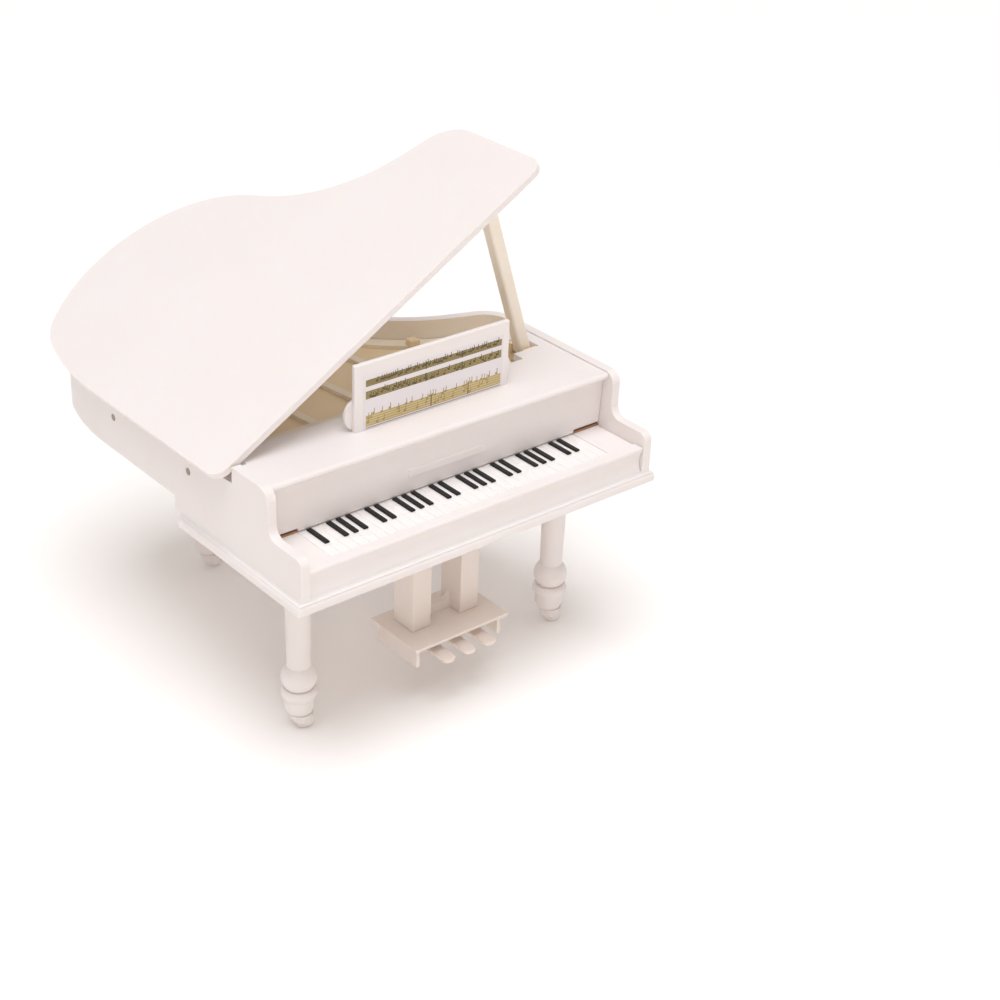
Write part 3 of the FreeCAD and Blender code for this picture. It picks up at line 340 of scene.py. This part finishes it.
def make_note_row():
    """Printed notes along a stave: a round head with a stem, at chance heights, with chance rests."""
    tree = bpy.data.node_groups.new("note_row", "GeometryNodeTree")
    for name, kind in (("Count", "Int"), ("Origin", "Vector"), ("Step", "Vector"),
                       ("Rise", "Vector"), ("Head", "Float"), ("Stem", "Float"), ("Stem Width", "Float"),
                       ("Thickness", "Float"), ("Rests", "Float"), ("Seed", "Int"),
                       ("Finish", "Material")):
        new_socket(tree, name, "INPUT", kind)
    new_socket(tree, "Geometry", "OUTPUT", "Geometry")
    start = add_node(tree, "NodeGroupInput")
    line = add_node(tree, "GeometryNodeMeshLine", mode="OFFSET")
    tree.links.new(start.outputs["Count"], line.inputs["Count"])
    tree.links.new(start.outputs["Origin"], line.inputs["Start Location"])
    tree.links.new(start.outputs["Step"], line.inputs["Offset"])
    chance = add_node(tree, "FunctionNodeRandomValue", data_type="BOOLEAN")
    tree.links.new(start.outputs["Rests"], socket_of(chance, "Probability"))
    tree.links.new(start.outputs["Seed"], chance.inputs["Seed"])
    thin = add_node(tree, "GeometryNodeDeleteGeometry", domain="POINT")
    tree.links.new(line.outputs["Mesh"], thin.inputs["Geometry"])
    tree.links.new(socket_of(chance, "Value_003", "outputs"), thin.inputs["Selection"])
    height = add_node(tree, "FunctionNodeRandomValue", data_type="FLOAT_VECTOR")
    tree.links.new(start.outputs["Rise"], socket_of(height, "Max"))
    socket_of(height, "Min").default_value = (0.0, 0.0, 0.0)
    tree.links.new(start.outputs["Seed"], height.inputs["Seed"])
    lift = add_node(tree, "GeometryNodeSetPosition")
    tree.links.new(thin.outputs["Geometry"], lift.inputs["Geometry"])
    tree.links.new(socket_of(height, "Value", "outputs"), lift.inputs["Offset"])
    head = add_node(tree, "GeometryNodeMeshCylinder")
    head.inputs["Vertices"].default_value = 14
    tree.links.new(start.outputs["Head"], head.inputs["Radius"])
    tree.links.new(start.outputs["Thickness"], head.inputs["Depth"])
    upright = add_node(tree, "GeometryNodeTransform")
    tree.links.new(head.outputs["Mesh"], upright.inputs["Geometry"])
    upright.inputs["Rotation"].default_value = (math.radians(90.0), 0.0, 0.0)
    upright.inputs["Scale"].default_value = (1.3, 1.0, 1.0)
    size = add_node(tree, "ShaderNodeCombineXYZ")
    tree.links.new(start.outputs["Stem Width"], size.inputs["X"])
    tree.links.new(start.outputs["Thickness"], size.inputs["Y"])
    tree.links.new(start.outputs["Stem"], size.inputs["Z"])
    stem = add_node(tree, "GeometryNodeMeshCube")
    tree.links.new(size.outputs["Vector"], stem.inputs["Size"])
    half = add_node(tree, "ShaderNodeMath", operation="MULTIPLY")
    half.inputs[1].default_value = 0.5
    tree.links.new(start.outputs["Stem"], half.inputs[0])
    place = add_node(tree, "ShaderNodeCombineXYZ")
    tree.links.new(start.outputs["Head"], place.inputs["X"])
    tree.links.new(half.outputs["Value"], place.inputs["Z"])
    stood = add_node(tree, "GeometryNodeTransform")
    tree.links.new(stem.outputs["Mesh"], stood.inputs["Geometry"])
    tree.links.new(place.outputs["Vector"], stood.inputs["Translation"])
    note = add_node(tree, "GeometryNodeJoinGeometry")
    tree.links.new(upright.outputs["Geometry"], note.inputs["Geometry"])
    tree.links.new(stood.outputs["Geometry"], note.inputs["Geometry"])
    copies = add_node(tree, "GeometryNodeInstanceOnPoints")
    tree.links.new(lift.outputs["Geometry"], copies.inputs["Points"])
    tree.links.new(note.outputs["Geometry"], copies.inputs["Instance"])
    close_tree(tree, copies.outputs["Instances"])
    return tree


def grow(name, tree, rounding=0.0, **values):
    """Bake a pattern into one plain piece. Values are named after the tree's sockets."""
    piece = link_piece(name, bpy.data.meshes.new(name))
    pattern = piece.modifiers.new("pattern", "NODES")
    pattern.node_group = tree
    for item in tree.interface.items_tree:
        if item.item_type == "SOCKET" and item.in_out == "INPUT":
            pattern[item.identifier] = values[item.name.lower().replace(" ", "_")]
    if rounding:
        return soften(piece, rounding, segments=2)
    return bake(piece)


# ---------------------------------------------------------------- mesh helpers

def link_piece(name, mesh, *materials):
    mesh.materials.clear()
    for material in materials:
        mesh.materials.append(material)
    piece = bpy.data.objects.new(name, mesh)
    bpy.context.scene.collection.objects.link(piece)
    return piece


def plain_mesh(name, shape):
    mesh = bpy.data.meshes.new(name)
    shape.to_mesh(mesh)
    shape.free()
    for attribute in ("custom_normal", "sharp_edge", "sharp_face"):
        if attribute in mesh.attributes:
            mesh.attributes.remove(mesh.attributes[attribute])
    mesh.shade_smooth()
    return mesh


def bake(piece):
    """Turn a piece and its modifiers into a plain mesh."""
    graph = bpy.context.evaluated_depsgraph_get()
    graph.update()
    mesh = bpy.data.meshes.new_from_object(piece.evaluated_get(graph), preserve_all_data_layers=True,
                                           depsgraph=graph)
    piece.modifiers.clear()
    piece.data = mesh
    return piece


def soften(piece, width, segments=4, angle=35.0):
    """Round the edges of a piece as a mould does, and keep its flats flat."""
    bevel = piece.modifiers.new("rounding", "BEVEL")
    bevel.width = width
    bevel.segments = segments
    bevel.limit_method = "ANGLE"
    bevel.angle_limit = math.radians(angle)
    bevel.use_clamp_overlap = True
    normals = piece.modifiers.new("flats", "WEIGHTED_NORMAL")
    normals.keep_sharp = False
    return bake(piece)


JOIN_DISTANCE = 0.001 * MM
FLAT_ANGLE = math.radians(0.4)


def soft_copy(node, width, material):
    """A copy of a CAD piece with its facets joined and its edges rounded."""
    shape = bmesh.new()
    shape.from_mesh(nodes[node].data)
    bmesh.ops.remove_doubles(shape, verts=shape.verts, dist=JOIN_DISTANCE)
    bmesh.ops.dissolve_limit(shape, angle_limit=FLAT_ANGLE, verts=shape.verts, edges=shape.edges)
    return soften(link_piece(node + "_moulded", plain_mesh(node, shape), material), width)


def stand_for(piece, node, body="case"):
    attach(piece, body)
    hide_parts(node)


# ---------------------------------------------------------------- moulded pieces

# Edge radius of each piece in millimetres.
SOFT_NODES = {
    "case_rim": 0.45,
    "plinth": 0.9,
    "key_slip": 0.4,
    "belly_rail": 0.2,
    "key_block_left": 0.3,
    "key_block_right": 0.3,
    "fallboard": 0.25,
    "top_deck": 0.3,
    "music_desk": 0.3,
    "case_floor": 0.2,
    "hinge_bracket_front": 0.15,
    "hinge_bracket_rear": 0.15,
    "leg_front_left": 0.25,
    "leg_front_right": 0.25,
    "leg_rear": 0.25,
    "lyre_box": 0.25,
    "lyre_web": 0.4,
    "lyre_column_left": 0.3,
    "lyre_column_right": 0.3,
    "pedal_left": 0.25,
    "pedal_middle": 0.25,
    "pedal_right": 0.25,
}
# Pieces in the shadow of the case that take ivory with painted golden shade, with their edge radius in
# millimetres.
PAINTED_SHADE_NODES = {"soundboard": 0.15, "plate_stud": 0.3, "prop_post": 0.15, "key_frame": 0.1}
LYRE_NODES = ("lyre_box", "lyre_web", "lyre_column_left", "lyre_column_right", "pedal_left",
              "pedal_middle", "pedal_right")
LEG_NODES = ("leg_front_left", "leg_front_right", "leg_rear")
PLATE_ROUNDING = 0.4 * MM
LID_ROUNDING = 0.7 * MM
PROP_ROUNDING = 0.6 * MM
WALL_TILT = 0.5


def paint_warm_shade_on_inner_walls(rim):
    """The faces of the case wall that look into the case get painted warm shade, for the shadow under
    the lid.
    """
    rim.data.materials.append(painted_warm_shade_ivory)
    low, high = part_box("soundboard")
    middle = (low + high) / 2
    for face in rim.data.polygons:
        inwards = face.normal.dot(Vector((middle.x - face.center.x, middle.y - face.center.y, 0.0)))
        if inwards > 0 and abs(face.normal.z) < WALL_TILT and face.center.y > low.y:
            face.material_index = 1


def make_soft_pieces():
    for node, width in SOFT_NODES.items():
        # The lyre and pedals take the darker ivory, partly painted shade from the case above.
        finish = lyre_ivory_warm_and_shaded if node in LYRE_NODES else ivory
        piece = soft_copy(node, width * MM, finish)
        if node in LEG_NODES:
            cut_below(piece, FOOT_TOP)
            make_caster(node)
        if node == "case_rim":
            paint_warm_shade_on_inner_walls(piece)
        stand_for(piece, node)
    for node, width in PAINTED_SHADE_NODES.items():
        # These pieces take ivory with painted golden shade.
        stand_for(soft_copy(node, width * MM, painted_golden_shade_ivory), node)
    # The harp plate takes ivory with painted cream shade.
    stand_for(soft_copy("harp_plate", PLATE_ROUNDING, painted_cream_shade_ivory), "harp_plate")
    stand_for(soft_copy("lid", LID_ROUNDING, ivory), "lid", "lid")
    # The lid prop takes ivory with painted warm shade.
    prop = soft_copy("lid_prop", PROP_ROUNDING, painted_warm_shade_ivory)
    stand_for(prop, "lid_prop", "prop")


# ---------------------------------------------------------------- feet

FOOT_TOP = 7.4 * MM
TRAIL = Vector((0.94, -0.34, 0.0)).normalized()
CUT_DISTANCE = 1e-7
DRUM_SIDES = 40
CASTER_VOXEL = 0.16 * MM
CASTER_RELAXING = 3

# Each part of a caster in millimetres: top radius, foot radius, depth, height of its middle and
# how far it trails. The last word says whether it lies on its side.
CASTER_PARTS = {
    "cup": (3.9, 3.7, 1.5, 6.8, 0.0, False),
    "neck": (3.0, 2.9, 1.2, 5.7, 0.0, False),
    "fork": (3.6, 2.5, 2.8, 3.9, 0.4, False),
    "wheel": (2.7, 2.7, 2.2, 2.7, 1.4, True),
    "axle": (1.2, 1.2, 4.6, 2.7, 1.4, True),
}


def cut_below(piece, level):
    """Take away what is below a level and close the cut."""
    shape = bmesh.new()
    shape.from_mesh(piece.data)
    parts = shape.verts[:] + shape.edges[:] + shape.faces[:]
    cut = bmesh.ops.bisect_plane(shape, geom=parts, dist=CUT_DISTANCE, plane_co=(0, 0, level),
                                 plane_no=(0, 0, 1), clear_inner=True)
    rim_edges = [part for part in cut["geom_cut"] if isinstance(part, bmesh.types.BMEdge)]
    bmesh.ops.holes_fill(shape, edges=rim_edges, sides=0)
    bmesh.ops.recalc_face_normals(shape, faces=shape.faces)
    shape.to_mesh(piece.data)
    shape.free()


def make_caster(leg):
    """A foot moulded as a small caster: a fork under the cup and a wheel that trails behind."""
    low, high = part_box(leg)
    centre = Vector(((low.x + high.x) / 2, (low.y + high.y) / 2, 0.0))
    lie = TRAIL.to_track_quat("X", "Z").to_matrix().to_4x4()
    on_side = lie @ Matrix.Rotation(math.radians(90.0), 4, "X")
    shape = bmesh.new()
    for top_radius, foot_radius, depth, height, trail, lies in CASTER_PARTS.values():
        place = Matrix.Translation(centre + TRAIL * trail * MM + Vector((0, 0, height * MM)))
        bmesh.ops.create_cone(shape, cap_ends=True, segments=DRUM_SIDES, radius1=foot_radius * MM,
                              radius2=top_radius * MM, depth=depth * MM,
                              matrix=place @ on_side if lies else place)
    caster = link_piece(leg + "_caster", plain_mesh(leg + "_caster", shape), ivory)
    blend = caster.modifiers.new("blend", "REMESH")
    blend.mode = "VOXEL"
    blend.voxel_size = CASTER_VOXEL
    blend.use_smooth_shade = True
    relax = caster.modifiers.new("relax", "SMOOTH")
    relax.factor = 0.5
    relax.iterations = CASTER_RELAXING
    bake(caster)
    for vertex in caster.data.vertices:
        vertex.co.z = max(vertex.co.z, 0.0)
    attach(caster, "case")


# ---------------------------------------------------------------- fillet over the plinth

CASE_SIDE = 61.0 * MM
LEDGE_LENGTH = 57.0 * MM
COVE_RADIUS = 1.0 * MM
COVE_SINK = 0.15 * MM
COVE_STEPS = 8
COVE_ROUNDING = 0.02 * MM


def make_cove():
    """The small hollow fillet where the case walls and the slip meet the ledge of the plinth."""
    plinth_low, plinth_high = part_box("plinth")
    across = (plinth_low.x + plinth_high.x) / 2
    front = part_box("key_slip")[0].y
    back = front + LEDGE_LENGTH
    radius, sink, steps = COVE_RADIUS, COVE_SINK, COVE_STEPS
    profile = [(-sink, -sink), (radius, -sink)]
    for step in range(steps + 1):
        angle = math.radians(90.0) * step / steps
        profile.append((radius * (1 - math.sin(angle)), radius * (1 - math.cos(angle))))
    profile.append((-sink, radius))
    stations = [((-CASE_SIDE, back), (-1, 0)), ((-CASE_SIDE, front), (-1, -1)),
                ((CASE_SIDE, front), (1, -1)), ((CASE_SIDE, back), (1, 0))]
    shape = bmesh.new()
    rings = []
    for (x, y), (out_x, out_y) in stations:
        rings.append([shape.verts.new((across + x + out_x * out, y + out_y * out,
                                       plinth_high.z + rise)) for out, rise in profile])
    count = len(profile)
    for ring, following in zip(rings, rings[1:]):
        for spot in range(count):
            beyond = (spot + 1) % count
            shape.faces.new((ring[spot], ring[beyond], following[beyond], following[spot]))
    shape.faces.new(rings[0])
    shape.faces.new(rings[-1])
    bmesh.ops.recalc_face_normals(shape, faces=shape.faces)
    cove = link_piece("case_cove", plain_mesh("case_cove", shape), ivory)
    soften(cove, COVE_ROUNDING, segments=1, angle=50.0)
    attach(cove, "case")


# ---------------------------------------------------------------- keyboard

NATURAL_COUNT = 31
KEY_GAP = 0.06 * MM
BED_DROP = 0.35 * MM
NATURAL_ROUNDING = 0.08 * MM
SHARP_ROUNDING = 0.14 * MM
OCTAVE = 7
NONE_LEFT_OUT = {"cycle": 99, "skip_a": -1, "skip_b": -1}
NO_SHARP_AFTER_E_AND_B = {"cycle": OCTAVE, "skip_a": 1, "skip_b": 5}


def make_keys():
    """Thirty-one naturals on one bed, and a sharp after every natural but E and B."""
    low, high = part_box("white_keys")
    size = high - low
    pitch = size.x / NATURAL_COUNT
    row = make_block_row()
    naturals = grow("naturals", row, NATURAL_ROUNDING, count=NATURAL_COUNT,
                    corner=(low.x + KEY_GAP / 2, low.y, low.z), step=(pitch, 0, 0),
                    size=(pitch - KEY_GAP, size.y, size.z), finish=key_ivory, **NONE_LEFT_OUT)
    stand_for(naturals, "white_keys")
    key_bed = grow("key_bed", row, count=1, corner=(low.x + KEY_GAP, low.y + BED_DROP, low.z),
                   step=(pitch, 0, 0), finish=key_ivory,
                   size=(size.x - 2 * KEY_GAP, size.y - 2 * BED_DROP, size.z - BED_DROP),
                   **NONE_LEFT_OUT)
    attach(key_bed, "case")
    sharp_low, sharp_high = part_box("black_keys")
    width = 2 * (low.x + pitch - sharp_low.x)
    sharps = grow("sharps", row, SHARP_ROUNDING, count=NATURAL_COUNT - 1, corner=tuple(sharp_low),
                  step=(pitch, 0, 0), finish=enamel,
                  size=(width, sharp_high.y - sharp_low.y, sharp_high.z - sharp_low.z),
                  **NO_SHARP_AFTER_E_AND_B)
    stand_for(sharps, "black_keys")
    return row


# ---------------------------------------------------------------- printed sheet

PRINT_MARGIN = 0.7 * MM
PRINT_SKIN = 0.03 * MM
BAND_LAYER, LINE_LAYER, BAR_LAYER, NOTE_LAYER = 1, 2, 2.5, 3
LINE_COUNT = 5
LINE_DEPTH = 0.16
LINE_INSET = 0.1
BAR_WIDTH = 0.3 * MM
BAR_OUT = 0.1
FOOT_LINE_START = 15.2
NOTE_HEAD = 0.3 * MM
NOTE_STEM_WIDTH = 0.15 * MM

# Starts are millimetres down from the top of the sheet, bars are shares of its width.
STAVES = (
    {"start": 1.1, "depth": 1.9, "finish": gilt, "dark": dark_gilt, "bars": (0.43, 0.69)},
    {"start": 4.4, "depth": 2.3, "finish": gilt, "dark": dark_gilt, "bars": (0.43, 0.69)},
    {"start": 11.6, "depth": 3.2, "finish": pale_gilt, "dark": gilt, "bars": (0.47, 0.74)},
)
NOTE_ROWS = (
    {"start": 2.3, "count": 62, "seed": 11, "rise": 0.8, "stem": 1.2, "rests": 0.22, "finish": ink},
    {"start": 6.4, "count": 60, "seed": 23, "rise": 1.4, "stem": 1.2, "rests": 0.30, "finish": ink},
    {"start": 12.4, "count": 50, "seed": 5, "rise": 1.2, "stem": 1.5, "rests": 0.45, "finish": gilt},
    {"start": 14.3, "count": 44, "seed": 37, "rise": 1.2, "stem": 1.4, "rests": 0.45, "finish": gilt},
)


def print_blocks(name, row, layer, start, depth, x, width, finish, count=1, step=(0, 0, 0)):
    """Printed bars on the sheet. Start and depth are in millimetres down from its top."""
    low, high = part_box("music_sheet")
    place = (x, low.y - PRINT_SKIN * layer, high.z - (start + depth) * MM)
    printed = grow(name, row, count=count, corner=place, step=step,
                   size=(width, PRINT_SKIN * layer, depth * MM), finish=finish, **NONE_LEFT_OUT)
    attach(printed, "case")


def print_staves(row):
    low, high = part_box("music_sheet")
    sheet_width = high.x - low.x
    left, width = low.x + PRINT_MARGIN, sheet_width - 2 * PRINT_MARGIN
    for number, stave in enumerate(STAVES, 1):
        start, depth = stave["start"], stave["depth"]
        first_bar, second_bar = stave["bars"]
        spacing = (depth - 2 * LINE_INSET - LINE_DEPTH) / (LINE_COUNT - 1) * MM
        print_blocks(f"stave_{number}", row, BAND_LAYER, start, depth, left, width, stave["finish"])
        print_blocks(f"stave_{number}_lines", row, LINE_LAYER, start + LINE_INSET, LINE_DEPTH, left,
                     width, stave["dark"], LINE_COUNT, (0, 0, -spacing))
        print_blocks(f"stave_{number}_bars", row, BAR_LAYER, start - BAR_OUT, depth + 2 * BAR_OUT,
                     low.x + first_bar * sheet_width, BAR_WIDTH, ink, 2,
                     ((second_bar - first_bar) * sheet_width, 0, 0))
    print_blocks("sheet_foot_line", row, BAND_LAYER, FOOT_LINE_START, LINE_DEPTH, left, width,
                 dark_gilt)


def print_notes():
    """Plain generic notes along the staves, a hair's breadth proud of the sheet."""
    low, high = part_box("music_sheet")
    tree = make_note_row()
    front = low.y - NOTE_LAYER * PRINT_SKIN / 2
    for number, notes in enumerate(NOTE_ROWS, 1):
        spacing = (high.x - low.x - 4 * PRINT_MARGIN) / notes["count"]
        origin = (low.x + 2 * PRINT_MARGIN, front, high.z - notes["start"] * MM)
        printed = grow(f"notes_{number}", tree, count=notes["count"], origin=origin,
                       step=(spacing, 0, 0), rise=(0, 0, notes["rise"] * MM), head=NOTE_HEAD,
                       stem=notes["stem"] * MM, stem_width=NOTE_STEM_WIDTH,
                       thickness=NOTE_LAYER * PRINT_SKIN, rests=notes["rests"], seed=notes["seed"],
                       finish=notes["finish"])
        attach(printed, "case")


# ---------------------------------------------------------------- painted gap shade and plain nodes

FALLBOARD_LEAN = 0.8 * MM
GAP_SHADE_SETBACK = 0.1 * MM
GAP_SHADE_DEPTH = 0.9 * MM
GAP_SHADE_HEIGHT = 0.6 * MM


def make_painted_gap_shade(row):
    """A brown strip of painted shade that fills the gap under both ends of the fallboard."""
    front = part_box("fallboard")[0].y + FALLBOARD_LEAN + GAP_SHADE_SETBACK
    for side in ("left", "right"):
        low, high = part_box("key_block_" + side)
        gap_shade_strip = grow(f"fallboard_edge_{side}", row, count=1, corner=(low.x, front, high.z),
                    step=(0, 0, 0), size=(high.x - low.x, GAP_SHADE_DEPTH, GAP_SHADE_HEIGHT), finish=painted_gap_shade,
                    **NONE_LEFT_OUT)
        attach(gap_shade_strip, "case")


def finish_cad_nodes():
    """The pieces whose CAD shape is right as it is."""
    plain = {"hinge_pin_front": steel, "hinge_pin_rear": steel, "prop_pin": steel,
             "hinge_screws": bronze, "music_sheet": paper}
    for node, finish in plain.items():
        nodes[node].data.materials.clear()
        nodes[node].data.materials.append(finish)


make_camera()
make_studio()
make_soft_pieces()
make_cove()
block_row = make_keys()
print_staves(block_row)
print_notes()
make_painted_gap_shade(block_row)
finish_cad_nodes()
